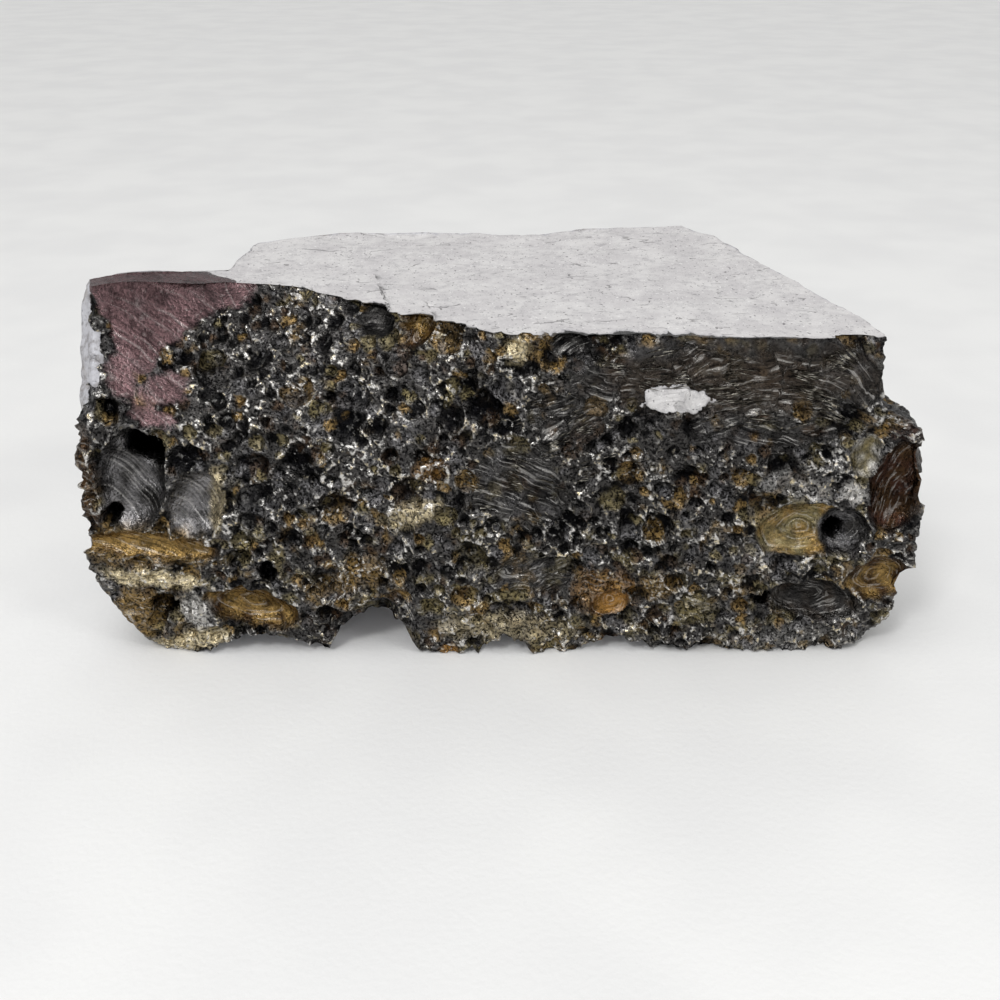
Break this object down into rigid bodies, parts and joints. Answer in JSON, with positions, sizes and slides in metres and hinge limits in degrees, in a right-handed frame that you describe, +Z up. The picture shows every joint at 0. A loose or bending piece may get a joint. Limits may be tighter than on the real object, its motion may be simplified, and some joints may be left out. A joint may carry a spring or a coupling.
{
  "type": "magnesium copper alloy ingot",
  "caption": "Broken piece of a cast alloy ingot with one flat cast face, a porous broken face, raised corner rim and a hollowed underside.",
  "frame": {"origin": "on the floor, under the middle of the lump's box", "axes": "+X along the length to the right end, +Y from the broken front face to the back, +Z up through the flat cast face"},
  "size_m": [0.2, 0.102, 0.089],
  "materials": {
    "cast_alloy": "matte"
  },
  "bodies": {
    "root": {"ingot": "cast_alloy"}
  },
  "joints": []
}
